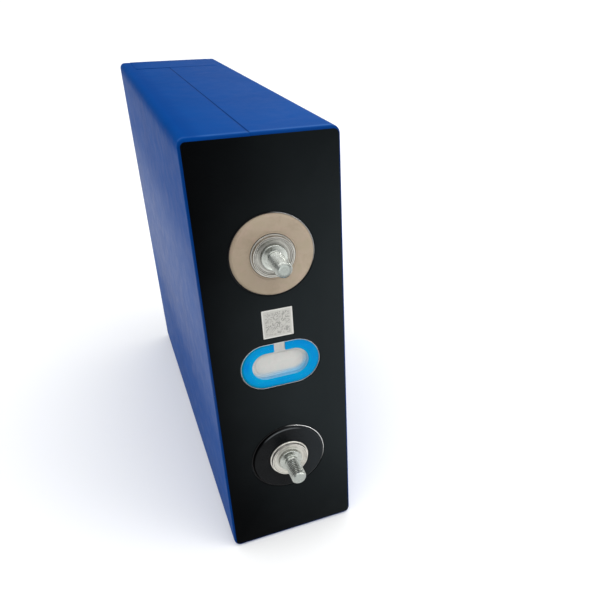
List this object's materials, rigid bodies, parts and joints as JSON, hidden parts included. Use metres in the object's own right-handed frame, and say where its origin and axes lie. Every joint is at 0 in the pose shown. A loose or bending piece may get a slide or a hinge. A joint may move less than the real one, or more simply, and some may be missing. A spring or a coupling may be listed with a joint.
{
  "type": "prismatic battery cell",
  "caption": "Flat rectangular lithium battery cell in blue film, lying on a narrow side, with a black terminal face, threaded studs, pressure vent and insulating washers.",
  "frame": {"origin": "centre of the bounding box's underside: the surface that the cell's narrow side lies on, halfway between base and stud tips", "axes": "-Y is the way the terminals point, so the cell's height runs along Y; X is its thickness; Z is its width, with the positive terminal uppermost"},
  "size_m": [0.0538, 0.2196, 0.1739],
  "materials": {
    "blue_film": "satin",
    "black_sheet": "satin",
    "label_foil": "matte",
    "blue_adhesive": "gloss",
    "clear_film": "gloss",
    "aluminium": "satin",
    "can_aluminium": "matte",
    "beige_plastic": "satin",
    "black_plastic": "satin",
    "plated_steel": "gloss",
    "copper": "satin",
    "rubber": "matte",
    "black_polypropylene": "satin",
    "wound_electrodes": "matte",
    "green_tape": "satin",
    "clear_bag": "gloss"
  },
  "bodies": {
    "root": {"wrap_film": "blue_film", "can": "can_aluminium", "lid_plate": "aluminium", "top_sheet": "black_sheet", "code_label": "label_foil", "vent_disc": "aluminium", "vent_adhesive_ring": "blue_adhesive", "vent_film": "clear_film", "fill_plug": "rubber", "fill_cap": "aluminium", "vent_guard": "black_polypropylene", "wound_core_left": "wound_electrodes", "wound_core_right": "wound_electrodes", "stop_tape_left": "green_tape", "stop_tape_right": "green_tape", "core_bag": "clear_bag", "base_spacer": "black_polypropylene", "positive_washer": "beige_plastic", "positive_terminal_pad": "aluminium", "positive_stud": "plated_steel", "positive_pole": "aluminium", "positive_seal_ring": "rubber", "positive_inner_insulator": "black_polypropylene", "positive_collector": "aluminium", "positive_tab_foil_left": "aluminium", "positive_tab_foil_right": "aluminium", "negative_washer": "black_plastic", "negative_terminal_pad": "aluminium", "negative_stud": "plated_steel", "negative_pole": "copper", "negative_seal_ring": "rubber", "negative_inner_insulator": "black_polypropylene", "negative_collector": "copper", "negative_tab_foil_left": "copper", "negative_tab_foil_right": "copper"}
  },
  "joints": []
}
